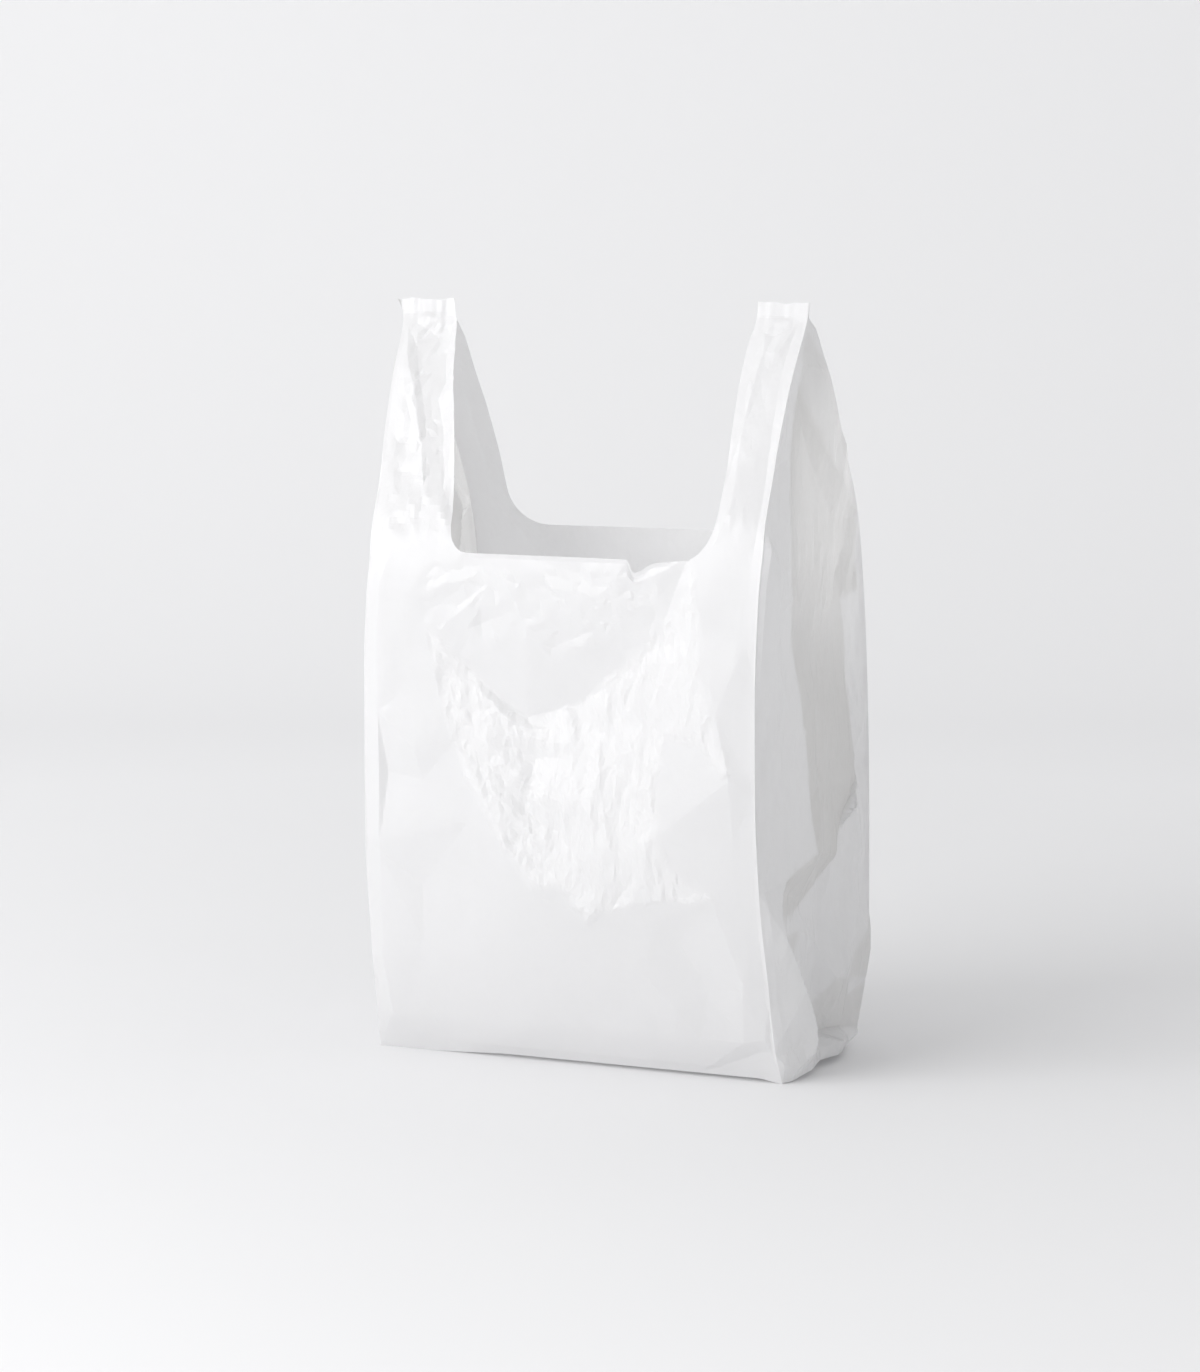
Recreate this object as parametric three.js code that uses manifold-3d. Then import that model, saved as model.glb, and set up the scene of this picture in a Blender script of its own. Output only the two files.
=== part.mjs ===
// A plastic carrier bag of the vest kind, standing open on its squared base.
// The bag is one length of blown film tube: gusseted at the sides, sealed across its bottom,
// sealed at the tops of the two handles and cut out between them. It is one piece of film.
// Millimetres, +Z up. The origin is the middle of the base, the front panel faces -Y.
import * as THREE from "three";
import { mergeVertices } from "three/addons/utils/BufferGeometryUtils.js";
import Module from "manifold-3d";

// Driving dimensions of the flat, unopened bag.
const FACE_WIDTH = 305; // width of the front and back panels
const GUSSET_DEPTH = 89; // how far each side gusset folds in
const FLAT_HEIGHT = 610; // bottom seal to handle top
const WALL = 0.9; // thickness of the modelled wall, which stands in for 0.018 mm film
const SEAL_THICKNESS = 2.4; // the four layers of a heat seal, with the same allowance
const HANDLE_SEAL = 7; // height of the sealed band at a handle's top
const BOTTOM_SEAL = 8; // width of the folded bottom seal

// The open bag: its base takes up half its depth from the flat height.
const HEIGHT = FLAT_HEIGHT - GUSSET_DEPTH;
const SEAL_HEIGHT = HEIGHT - HANDLE_SEAL; // where a handle's front and back strips meet
const BASE_HALF_DEPTH = 80;
const MOUTH_HEIGHT = 352; // bottom of the cut between the handles
const MOUTH_HALF_WIDTH = 106; // middle of the bag to a handle's inner edge, just above the corner
const MOUTH_CORNER = 34; // radius of the cut's lower corners
const HANDLE_TOP_INNER = 116; // middle of the bag to a handle's inner edge at the seal
const HANDLE_TOP_OUTER = 155;
const HANDLE_LEAN = -22; // the sealed tops stand this far forward of the middle

// Heights and values of the open bag's outline, joined by smooth curves.
const HALF_WIDTH = outline([
  [0, FACE_WIDTH / 2],
  [90, 149.5],
  [200, 147],
  [MOUTH_HEIGHT, 147],
  [HEIGHT, HANDLE_TOP_OUTER],
]);
const HALF_DEPTH = outline([
  [0, BASE_HALF_DEPTH],
  [70, 86],
  [190, GUSSET_DEPTH],
  [300, 86],
  [MOUTH_HEIGHT, 81],
  [410, 58],
  [466, 29],
  [SEAL_HEIGHT, SEAL_THICKNESS / 2],
  [HEIGHT, SEAL_THICKNESS / 2],
]);
const GUSSET_TUCK = outline([
  [0, 0],
  [70, 8],
  [190, 24],
  [340, 20],
  [430, 9],
  [480, 0],
  [HEIGHT, 0],
]);
const LEAN = outline([
  [0, 0],
  [300, 0],
  [410, -6],
  [466, -14],
  [SEAL_HEIGHT, HANDLE_LEAN],
  [HEIGHT, HANDLE_LEAN],
]);
const BELLY = outline([
  [0, 0],
  [170, 4],
  [300, 2],
  [MOUTH_HEIGHT, 0],
  [HEIGHT, 0],
]);

const FACE_STEPS = 6; // segments across the front or back panel
const GUSSET_STEPS = 2; // segments across each half of a gusset
const BODY_SPACING = 22; // height between level sections below the mouth
const HANDLE_SPACING = 12; // the same in the handles, which change faster
const LEAST_HOLLOW = 0.3; // half depth of the hollow where it closes under a handle's seal

// A smooth curve through a few [height, value] points, with no overshoot between them.
function outline(points) {
  const slope = points.slice(1).map(([z, v], i) => (v - points[i][1]) / (z - points[i][0]));
  const tangent = points.map((_, i) => {
    if (i === 0) return slope[0];
    if (i === points.length - 1) return slope[i - 1];
    const [a, b] = [slope[i - 1], slope[i]];
    return a * b <= 0 ? 0 : (2 * a * b) / (a + b);
  });
  return (z) => {
    let i = 0;
    while (i < points.length - 2 && z > points[i + 1][0]) i++;
    const [z0, v0] = points[i];
    const [z1, v1] = points[i + 1];
    const h = z1 - z0;
    const t = Math.min(Math.max((z - z0) / h, 0), 1);
    const rise = v1 - v0;
    const c = 3 * rise - h * (2 * tangent[i] + tangent[i + 1]);
    const d = -2 * rise + h * (tangent[i] + tangent[i + 1]);
    return v0 + t * (h * tangent[i] + t * (c + t * d));
  };
}

// One level section of the bag, anticlockwise from the front left corner, drawn in by `inset`.
function ring(z, inset) {
  const width = HALF_WIDTH(z) - inset;
  const depth = Math.max(HALF_DEPTH(z) - inset, LEAST_HOLLOW);
  const face = (side) =>
    Array.from({ length: FACE_STEPS }, (_, i) => {
      const u = (2 * i) / FACE_STEPS - 1;
      return [-side * u * width, side * (depth + BELLY(z) * (1 - u * u))];
    });
  const gusset = (side) =>
    Array.from({ length: 2 * GUSSET_STEPS }, (_, i) => {
      const v = i / GUSSET_STEPS - 1;
      return [side * (width - GUSSET_TUCK(z) * (1 - Math.abs(v))), side * v * depth];
    });
  return [...face(-1), ...gusset(1), ...face(1), ...gusset(-1)].map(
    ([x, y]) => new THREE.Vector3(x, y + LEAN(z), z),
  );
}

// A closed skin over level rings that all have the same number of points.
function loft(rings) {
  const count = rings[0].length;
  const points = rings.flat();
  const index = [];
  for (let r = 0; r < rings.length - 1; r++)
    for (let i = 0; i < count; i++) {
      const a = r * count + i;
      const b = r * count + ((i + 1) % count);
      index.push(a, b, b + count, a, b + count, a + count);
    }
  const cap = (start, upward) => {
    const centre = points.length;
    const middle = new THREE.Vector3();
    for (let i = 0; i < count; i++) middle.addScaledVector(points[start + i], 1 / count);
    points.push(middle);
    for (let i = 0; i < count; i++) {
      const a = start + i;
      const b = start + ((i + 1) % count);
      index.push(centre, ...(upward ? [a, b] : [b, a]));
    }
  };
  cap(0, false);
  cap((rings.length - 1) * count, true);
  return new THREE.BufferGeometry().setFromPoints(points).setIndex(index);
}

// Even heights from one level up to, but not at, another.
function levels(from, to, spacing) {
  const count = Math.ceil((to - from) / spacing);
  return Array.from({ length: count }, (_, i) => from + ((to - from) * i) / count);
}

// The cut between the handles: a wide U, swept from front to back.
function mouthCut() {
  const over = HEIGHT + HANDLE_SEAL;
  const reach = 2 * GUSSET_DEPTH;
  const corner = new THREE.Shape();
  corner.moveTo(-HANDLE_TOP_INNER, over);
  corner.lineTo(-MOUTH_HALF_WIDTH, MOUTH_HEIGHT + MOUTH_CORNER);
  corner.absarc(
    MOUTH_CORNER - MOUTH_HALF_WIDTH,
    MOUTH_HEIGHT + MOUTH_CORNER,
    MOUTH_CORNER,
    Math.PI,
    1.5 * Math.PI,
  );
  corner.absarc(
    MOUTH_HALF_WIDTH - MOUTH_CORNER,
    MOUTH_HEIGHT + MOUTH_CORNER,
    MOUTH_CORNER,
    1.5 * Math.PI,
    2 * Math.PI,
  );
  corner.lineTo(HANDLE_TOP_INNER, over);
  return new THREE.ExtrudeGeometry(corner, {
    depth: 2 * reach,
    bevelEnabled: false,
    curveSegments: 8,
  })
    .rotateX(Math.PI / 2)
    .translate(0, reach, 0);
}

// The triangle that each gusset leaves when the base is squared: two layers lying on the base.
function gussetEar(side) {
  const edge = FACE_WIDTH / 2 - WALL / 2;
  const half = BASE_HALF_DEPTH - WALL / 2;
  const triangle = new THREE.Shape([
    new THREE.Vector2(side * edge, -side * half),
    new THREE.Vector2(side * edge, side * half),
    new THREE.Vector2(side * (edge - half), 0),
  ]);
  return new THREE.ExtrudeGeometry(triangle, { depth: 2.5 * WALL, bevelEnabled: false }).translate(
    0,
    0,
    WALL / 2,
  );
}

// The bottom seal, folded flat along the middle of the base. Its thickness stands on the inside.
function bottomSeal() {
  const length = FACE_WIDTH - WALL;
  const height = SEAL_THICKNESS - WALL / 2;
  return new THREE.BoxGeometry(length, BOTTOM_SEAL, height).translate(0, 0, WALL / 2 + height / 2);
}

const wasm = await Module();
wasm.setup();

// A closed geometry as a solid that can be cut and joined.
function solid(geometry) {
  geometry.deleteAttribute("normal");
  geometry.deleteAttribute("uv");
  const merged = mergeVertices(geometry, 1e-4);
  return new wasm.Manifold(
    new wasm.Mesh({
      numProp: 3,
      vertProperties: merged.attributes.position.array,
      triVerts: new Uint32Array(merged.index.array),
    }),
  );
}

// A solid as a geometry again.
function geometryOf(made) {
  const { vertProperties, triVerts } = made.getMesh();
  const geometry = new THREE.BufferGeometry();
  geometry.setAttribute("position", new THREE.BufferAttribute(vertProperties, 3));
  geometry.setIndex(new THREE.BufferAttribute(triVerts, 1));
  geometry.computeVertexNormals();
  return geometry;
}

// The film: the outer skin less the hollow and the mouth, with its folded base and seals.
function film() {
  const heights = [
    ...levels(0, MOUTH_HEIGHT, BODY_SPACING),
    ...levels(MOUTH_HEIGHT, SEAL_HEIGHT, HANDLE_SPACING),
    SEAL_HEIGHT,
  ];
  const outer = solid(loft([...heights, HEIGHT].map((z) => ring(z, 0))));
  const hollow = solid(loft([WALL, ...heights.slice(1)].map((z) => ring(z, WALL))));
  return outer
    .subtract(hollow)
    .add(solid(gussetEar(-1)))
    .add(solid(gussetEar(1)))
    .add(solid(bottomSeal()))
    .subtract(solid(mouthCut()));
}

const bag = new THREE.Mesh(
  geometryOf(film()),
  new THREE.MeshStandardMaterial({ color: 0xf1f1f2, roughness: 0.4, metalness: 0 }),
);
bag.name = "bag";

const carrierBag = new THREE.Group();
carrierBag.add(bag);

export default carrierBag;
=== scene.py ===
"""A white plastic-film carrier bag of the vest kind, standing open and empty on its squared base.

The film is one surface. Level rows run round it: front panel, right gusset, back panel, left
gusset. Its folds are lines and points with heights, joined by flat facets, as film creases.
"""

import math

import bmesh
import bpy
import numpy as np
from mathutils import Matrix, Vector
from mathutils.geometry import delaunay_2d_cdt


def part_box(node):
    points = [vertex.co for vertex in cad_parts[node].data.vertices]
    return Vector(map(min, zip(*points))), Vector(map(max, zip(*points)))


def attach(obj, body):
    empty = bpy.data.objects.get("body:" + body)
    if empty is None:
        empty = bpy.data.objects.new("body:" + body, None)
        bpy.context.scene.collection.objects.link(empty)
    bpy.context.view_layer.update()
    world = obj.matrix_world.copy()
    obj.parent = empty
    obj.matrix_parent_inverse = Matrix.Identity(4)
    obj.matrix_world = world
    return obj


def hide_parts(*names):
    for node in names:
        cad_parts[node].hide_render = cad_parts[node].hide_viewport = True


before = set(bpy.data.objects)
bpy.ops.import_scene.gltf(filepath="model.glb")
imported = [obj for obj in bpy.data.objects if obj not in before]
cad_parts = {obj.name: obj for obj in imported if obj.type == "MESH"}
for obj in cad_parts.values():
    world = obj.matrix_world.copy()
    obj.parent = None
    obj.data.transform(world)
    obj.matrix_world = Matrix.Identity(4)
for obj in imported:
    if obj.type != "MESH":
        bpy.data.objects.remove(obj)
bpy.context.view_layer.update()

NODE = "bag"
BAG_LOW, BAG_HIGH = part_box(NODE)

# Sizes in millimetres unless a note says otherwise.
MM = 0.001
SEAL_LIP = 2.5  # the seals' cut edges spring up by this much
HEIGHT = (BAG_HIGH[2] - BAG_LOW[2]) / MM + SEAL_LIP
FILM = 0.12  # modelled thickness of the film
CREASE_ANGLE = 6  # degrees: film bent more sharply than this shows a crisp crease
THROUGH = 0.60  # share of the light that passes through the film
MOUTH = 351.5  # bottom of the cut between the handles
CORNER = 36  # height of the band of closer rows in which the cut's lower corners turn
SEAL = 514  # where a handle's strips meet in its seal
BACK_RISE = 8  # the back panel's mouth edge stands this much higher than the front's
FOLD_BEAD = 0.35  # how far the four pressed folds stand out of the panels beside them
FACE_BEAD_SHARE = 0.008  # a bead's width as a share of the front's or the back's
GUSSET_BEAD_SHARE = 0.015
RIGHT_FOOT_LIFT = 5.5  # how high the right gusset's lower edge rises off the floor
LEFT_FOOT_LIFT = 3
FRONT_FOOT_LIFT = 2.4  # and the front's, but for its two ends
LIFTED_ROWS = 6  # rows over which the front's lower edge comes back to its own height
RIM_DROP = 9  # how far the front's rim hangs down where it is slack, and how far it folds in
RIM_FOLD_IN = 1.5
RIM_CURL = 0.8  # how far the front's cut edge curls out

# The grid that the film is made on.
FACE_COLUMNS = 216
GUSSET_COLUMNS = 116
BODY_ROWS = 236
CORNER_ROWS = 12
HANDLE_ROWS = 84
SEAL_ROWS = 5
SIDE_TRIANGLES = 96000  # triangles left on each side of the film
WELD = 0.3  # places nearer than this are joined, as where a handle closes in its seal


# ---------------------------------------------------------------- curves and facets

def curve(points):
    """A smooth curve through (position, value, ...) rows, with no overshoot between them."""
    table = np.array(points, float)
    at, values = table[:, 0], table[:, 1:]
    step = np.diff(at)[:, None]
    slope = np.diff(values, axis=0) / step
    tangent = np.empty_like(values)
    tangent[0], tangent[-1] = slope[0], slope[-1]
    before, after = slope[:-1], slope[1:]
    product = before * after
    total = np.where(product > 0, before + after, 1)
    tangent[1:-1] = np.where(product > 0, 2 * product / total, 0)

    def value(x):
        x = np.clip(np.asarray(x, float), at[0], at[-1])
        i = np.clip(np.searchsorted(at, x) - 1, 0, len(at) - 2)
        h = step[i]
        t = ((x - at[i]) / step[i, 0])[..., None]
        a, b = values[i], values[i + 1]
        m, n = tangent[i] * h, tangent[i + 1] * h
        made = a + t * (m + t * (3 * (b - a) - 2 * m - n + t * (2 * (a - b) + m + n)))
        return made[..., 0] if made.shape[-1] == 1 else made

    return value


def smooth(low, high, x):
    """Goes softly from 0 at low to 1 at high, and stays there. Low may be the larger number."""
    t = np.clip((x - low) / (high - low), 0, 1)
    return t * t * (3 - 2 * t)


class Facets:
    """A height over a plane, made of flat facets between given points and crease lines."""

    def __init__(self, points, creases=()):
        table = [tuple(map(float, p)) for p in points]
        edges = []
        for line in creases:
            for p in line:
                if tuple(map(float, p)) not in table:
                    table.append(tuple(map(float, p)))
            order = [table.index(tuple(map(float, p))) for p in line]
            edges += list(zip(order, order[1:]))
        flat = [Vector(p[:2]) for p in table]
        places, _, self.faces, origins = delaunay_2d_cdt(flat, edges, [], 0, 0.01)[:4]
        self.places = np.array([tuple(place) for place in places])
        self.heights = np.array([self._height(*both, table) for both in zip(places, origins)])

    @staticmethod
    def _height(place, origin, table):
        """The height given for a place, or a mean of the two nearest ones where lines cross."""
        if origin:
            return table[origin[0]][2]
        nearest = sorted(table, key=lambda p: math.dist(p[:2], place))[:2]
        weights = [1 / max(math.dist(p[:2], place), 0.01) for p in nearest]
        return sum(w * p[2] for w, p in zip(weights, nearest)) / sum(weights)

    def at(self, x, y):
        """Heights at arrays of places."""
        order = np.argsort(x, axis=None)
        xs, ys = x.ravel()[order], y.ravel()[order]
        found = np.zeros(xs.shape)
        for face in self.faces:
            (ax, ay), (bx, by), (cx, cy) = self.places[list(face)]
            area = (bx - ax) * (cy - ay) - (cx - ax) * (by - ay)
            if abs(area) < 1e-6:
                continue
            span = slice(*np.searchsorted(xs, (min(ax, bx, cx) - 1e-6, max(ax, bx, cx) + 1e-6)))
            px, py = xs[span] - ax, ys[span] - ay
            v = (px * (cy - ay) - (cx - ax) * py) / area
            w = ((bx - ax) * py - px * (by - ay)) / area
            inside = (v >= -1e-6) & (w >= -1e-6) & (v + w <= 1 + 1e-6)
            ha, hb, hc = self.heights[list(face)]
            found[span][inside] = (ha + v * (hb - ha) + w * (hc - ha))[inside]
        out = np.empty(xs.shape)
        out[order] = found
        return out.reshape(x.shape)


def facets(x, y, size, slope, seed, stretch=1.0, angle=0.0):
    """Flat facets about `size` wide between random points, as crumpled film has."""
    rng = np.random.default_rng(seed)
    c, s = math.cos(angle), math.sin(angle)
    u = (c * x + s * y) / size
    v = (c * y - s * x) / (size * stretch)
    low_u, low_v = math.floor(u.min()) - 1, math.floor(v.min()) - 1
    high_u, high_v = math.ceil(u.max()) + 2, math.ceil(v.max()) + 2
    points = [
        (i + rng.uniform(-0.45, 0.45), j + rng.uniform(-0.45, 0.45), rng.normal() * size * slope)
        for i in range(low_u, high_u)
        for j in range(low_v, high_v)
    ]
    return Facets(points).at(u, v)


def dents(x, y, size, seed):
    """Shallow cones `size` wide round random points, which meet in sharp ridges, 0 to about 1."""
    rng = np.random.default_rng(seed)
    u, v = x / size, y / size
    low = np.array([u.min() - 1, v.min() - 1])
    high = np.array([u.max() + 1, v.max() + 1])
    count = int(np.prod(high - low)) + 1
    tips = low + rng.random((count, 2)) * (high - low)
    made = np.full(u.shape, 9.0)
    for tip_u, tip_v in tips:
        np.minimum(made, np.hypot(u - tip_u, v - tip_v), out=made)
    return made


# ---------------------------------------------------------------- the bag's outline

# The four vertical folds: height, x, y.
FRONT_LEFT = curve([
    (0, -153, -69), (30, -150, -79), (76, -152, -83), (155, -156, -84), (273, -156, -84),
    (316, -154, -84), (355, -151.5, -82), (399, -152, -67), (440, -154, -53),
    (475, -154, -41), (495, -154, -31), (506, -154.5, -26), (SEAL, -156.5, -23.2),
    (HEIGHT, -160, -22.7),
])
FRONT_RIGHT = curve([
    (0, 154, -70), (30, 152, -80), (60, 150, -83), (127, 143, -85), (194, 140, -86),
    (261, 139.5, -86), (328, 141, -84), (368, 143, -80), (414, 143, -62), (466, 146, -44),
    (490, 148, -33), (505, 149.5, -26), (SEAL, 150.5, -23.2), (HEIGHT, 151.5, -22.7),
])
BACK_RIGHT = curve([
    (0, 146, 62), (12, 150, 74), (44, 150, 86), (92, 150, 97), (190, 150, 95),
    (290, 150, 87), (345, 150, 78), (377, 150, 70), (428, 150, 42), (476, 150, 12),
    (505, 150, -8), (SEAL, 150.5, -21.6), (HEIGHT, 151.5, -22.1),
])
BACK_LEFT = curve([
    (0, -150, 66), (40, -152, 80), (97, -153, 88), (190, -153, 90), (290, -152, 86),
    (345, -151, 78), (377, -151, 69), (428, -151, 42), (476, -151, 12), (495, -152, -2),
    (507, -153.5, -15), (SEAL, -156.5, -21.6), (HEIGHT, -160, -22.1),
])


class Cut:
    """One side of the mouth cut: where its floor ends, its corner, and its strip's inner edge."""

    def __init__(self, floor_end, corner_height, inner):
        self.floor_end = floor_end
        self.corner_height = corner_height
        self.inner = curve(inner)

    def edge(self, rise, z):
        """x of the cut edge, `rise` above the floor of the cut, at height z."""
        turn = np.clip(rise / self.corner_height, 0, 1)
        return self.floor_end + (self.inner(z) - self.floor_end) * np.sqrt(1 - (1 - turn) ** 2)


FRONT_LEFT_CUT = Cut(-77, 17, [(365, -90), (407, -96), (436, -100), (474, -108), (HEIGHT, -116)])
FRONT_RIGHT_CUT = Cut(84, 34, [
    (380, 108), (436, 109), (474, 109), (495, 110), (509, 113), (HEIGHT, 114),
])
BACK_RIGHT_CUT = Cut(86, 28, [(380, 112), (474, 112), (HEIGHT, 115)])
BACK_LEFT_CUT = Cut(-90, 26, [(380, -120), (474, -120), (HEIGHT, -116)])


# ---------------------------------------------------------------- folds of each panel

# A fold is a line of points. Each point is x or y, then its height over the floor, then how far
# it stands out of the panel. Facets take the first number in the panel's own measure, in which
# its edges lie at the same place at every height.
PANEL_SPAN = 150  # from the middle of the front or back to its edges
GUSSET_SPAN = 178  # from one edge of a gusset to the other


def edge_points(rows, span, low=0.0):
    """Points of no height down both edges of a panel."""
    return [(side, z, 0) for z in rows for side in (low, span)]


def front_panel_lines(at):
    """The folds of the front panel under its mouth edge."""
    rim = at((-77, 352, 1), (-20, 353, 2), (36, 353, 2), (46, 353, 2), (50, 345, 1), (58, 347, 1))
    rim += at((90, 356, 1))
    gully = at((46, 353, 2), (38, 338, 1.5), (28, 330, 0.5))
    lip = at((50, 341, 1.2), (66, 343, 1.7), (84, 352, 1))
    brow = at((-108, 298, 0), (-85, 277, -4), (-60, 256, -8), (-33, 240, -9), (3, 249, -11))
    brow += at((21, 260, -10), (45, 278, -8), (63, 292, -5), (75, 320, -3), (90, 356, 1))
    hem = at((-108, 298, 0), (-97, 255, 0), (-85, 222, 1), (-58, 179, 4), (-39, 147, 6))
    hem += at((-23, 123, 7), (15, 104, 6), (51, 115, 4.5), (110, 124, 3))
    tongue = at((90, 356, 1), (103, 300, 1), (112, 250, 3), (122, 206, 4))
    notch = at((122, 206, 4), (100, 228, 0), (69, 233, -4), (76, 170, 3), (110, 124, 4))
    shoulder = at((-98, 357, 1.5), (-106, 330, 1.5), (-108, 298, 0))
    hollow = at((-32, 177, -2), (-18, 189, -1.5), (-6, 183, -1), (9, 171, 0), (-6, 163, -1))
    hollow += at((-20, 167, -1.5), (-32, 177, -2))
    fleck = at((-33, 227, -6.5), (-11, 223, -6.5), (-6, 213, -6.5), (-27, 212, -7), (-33, 227, -6.5))
    belly = at((-6, 163, -1), (10, 140, 2), (15, 104, 7))
    diamond = at((-138, 197, 0), (-116, 215, 4), (-110, 193, 1), (-138, 197, 0))
    vee = at((-154, 148, 0), (-112, 120, -1), (-73, 167, 3))
    foot = at((20, 29, 2.5), (55, 28, 2), (100, 29, 2.5), (131, 28, 2.5), (146, 31, 1))
    corner = at((131, 28, 2.5), (141, 22, -1), (150, 23, -1))
    flank = at((141, 105, 0), (132, 70, 3), (146, 31, 1))
    ripple = at((66, 108, 4), (84, 95, 1.5), (106, 62, 0), (131, 28, 2.5))
    left_foot = at((-153, 0, 0), (-136, 28, 3), (-120, 50, 1))
    side_roll = at((-141, 60, 3), (-143, 150, 3.5), (-144, 240, 3), (-142, 330, 2.5))
    lines = [rim, gully, lip, brow, hem, tongue, notch, shoulder, hollow, fleck, belly, diamond]
    return lines + [vee, foot, corner, flank, ripple, left_foot, side_roll]


def left_strip_lines(at):
    """The folds of the left handle's front strip."""
    outer = at((-150, 503, 0.5), (-146, 486, 1.5), (-134, 457, 2), (-124, 425, 2.2), (-116, 392, 1.5))
    tuck = at((-150, 503, 0.5), (-141, 490, -0.5), (-127, 450, -0.5), (-120, 425, -0.3))
    tuck += at((-116, 392, 1.5))
    inner = at((-128, 497, -2.5), (-117, 482, -3.5), (-114, 466, -4), (-117, 454, -3))
    inner += at((-110, 433, -3.5), (-102, 393, -1.5))
    gather = at((-150, 503, 0.5), (-143, 506, 1), (-130, 509, 1), (-117, 512, 0.5))
    under_seal = at((-141, 490, -0.5), (-128, 497, -2.5), (-117, 505, -2))
    leaf = at((-145, 364, 0.5), (-134, 371, 0.5), (-116, 374, 0.5), (-100, 379, 1))
    leaf_low = at((-145, 364, 0.5), (-133, 357, 2), (-124, 356, 2.3), (-110, 360, 2), (-100, 379, 1))
    crook = at((-151, 381, 0.5), (-136, 378, 1.5), (-121, 377, 1.5), (-116, 392, 1.5))
    under = at((-133, 357, 2), (-136, 330, 2), (-128, 300, 2))
    return [outer, tuck, inner, gather, under_seal, leaf, leaf_low, crook, under]


def right_strip_lines(at):
    """The folds of the right handle's front strip."""
    pleat = at((121, 502, 0.5), (121, 478, 1.2), (116.5, 438, 1.2), (117, 386, 1.5), (106, 360, 1))
    pressed = at((143, 508, 0), (138, 480, -1), (137, 419, -1.4), (138, 384, -1.2), (134, 345, -0.5))
    pressed += at((132, 300, 0))
    slip = at((128, 500, -0.5), (133, 490, 1), (128, 476, -0.5), (123, 490, 1), (128, 500, -0.5))
    return [pleat, pressed, slip]


def front_folds():
    """Single points and fold lines of the front panel and its two handle strips."""

    def at(*points):
        made = []
        for x, z, h in points:
            left, right = FRONT_LEFT(z)[0], FRONT_RIGHT(z)[0]
            made.append((PANEL_SPAN * (2 * (x - left) / (right - left) - 1), z, h))
        return made

    loose = at((-130, 250, 1), (-30, 300, -3), (30, 310, -3), (-60, 320, -1))
    loose += at((40, 190, -3), (40, 150, 3), (10, 225, -7.5), (-60, 225, -3))
    loose += at((0, 60, 5), (-70, 70, 4), (-110, 80, 2), (60, 70, 4), (-30, 25, 3), (125, 165, 1))
    loose += at((125, 280, 2), (-90, 0, 0), (-30, 0, 0), (30, 0, 0), (90, 0, 0))
    loose += at((-103, 521, 0), (103, 521, 0), (0, 521, 0), (-138, 515, 2), (-122, 515, 1.5))
    loose += at((-100, 440, 1), (-104, 470, 1), (130, 512, 1.5), (110, 470, 0), (109, 400, 0))
    sides = edge_points((0, 60, 130, 200, 270, 330, 375, 420, 470, 521), PANEL_SPAN, -PANEL_SPAN)
    return loose + sides, front_panel_lines(at) + left_strip_lines(at) + right_strip_lines(at)


def right_folds():
    """Single points and fold lines of the right gusset."""

    def at(*points):
        made = []
        for y, z, h in points:
            front, back = FRONT_RIGHT(z)[1], BACK_RIGHT(z)[1]
            made.append((GUSSET_SPAN * (y - front) / (back - front), z, h))
        return made

    apex = at((-27, 466, 0))
    seam = at((-25, 500, 1.5)) + apex
    ridge = apex + at((-46, 391, 2.5), (-46, 320, 3), (-26, 239, 4.5), (-12, 149, 6.5), (-51, 135, 2))
    over = apex + at((22, 413, 2.5), (68, 378, 0.5))
    valley = apex + at((38, 372, -4), (56, 317, -5), (70, 246, -7), (80, 191, -6), (56, 163, -7))
    valley += at((23, 126, -8))
    shelf = at((-84, 320, 0), (-46, 320, 3), (6, 318, 1), (56, 317, -5), (80, 322, 0))
    fin = at((56, 163, -7), (66, 172, 0), (34, 141, -1), (23, 126, -8))
    chip = at((-82, 305, 0), (-49, 242, 3.5), (-83, 215, 0))
    step = at((-12, 149, 6.5), (23, 126, -8), (-10, 110, -5), (-50, 104, -1), (-51, 135, 2))
    slope = at((23, 126, -8), (82, 138, -1))
    pillow = at((-51, 135, 2), (-68, 113, 8), (-70, 98, 11), (-63, 81, 14), (-59, 64, 17))
    pillow += at((-49, 41, 19), (-47, 29, 19), (-50, 18, 17), (-55, 11, 12), (-62, 9, 8), (-70, 2, 1))
    recess = at((-50, 104, -1), (-40, 80, -4), (-32, 60, -8), (-20, 38, -12), (-14, 22, -13))
    wedge = at((-40, 94, -3), (-12, 95, -3), (-30, 72, -5))
    knee = at((94, 92, 0), (60, 66, 2), (33, 55, 3), (12, 36, -9), (-14, 22, -13))
    heel = at((60, 66, 2), (54, 52, 1), (84, 48, 0))
    spur = at((33, 55, 3), (54, 52, 1), (62, 38, -4), (84, 48, 0))
    tuck = at((-14, 22, -13), (18, 17, -10), (48, 16, -4), (80, 12, 0))
    flap = at((-52, 4, 8), (-34, 6, 10), (-8, 8, 6), (14, 11, 12), (30, 8, 10), (52, 6, 4))
    cheek = at((-78, 58, 3), (-73, 40, 7), (-79, 29, 2))
    dimple = at((-79, 29, 2), (-70, 22, 4), (-60, 23, 9))
    chin = at((-74, 14, 4), (-62, 17, 8))
    loose = at((-62, 0, 5), (-36, 0, 10), (-10, 0, 7), (14, 0, 12), (32, 0, 9), (56, 0, 2))
    loose += at((-66, 180, 1.5), (86, 260, -2), (88, 215, -1), (50, 100, -4), (20, 80, -5))
    loose += at((70, 340, -1), (-10, 280, 1), (20, 230, -1), (30, 190, -2), (10, 440, 2))
    lines = [seam, ridge, over, valley, shelf, fin, chip, step, slope, pillow, recess, wedge]
    lines += [knee, heel, spur, tuck, flap, cheek, dimple, chin]
    sides = edge_points((0, 20, 60, 130, 200, 270, 330, 375, 420, 470, 521), GUSSET_SPAN)
    return loose + sides, lines


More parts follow.
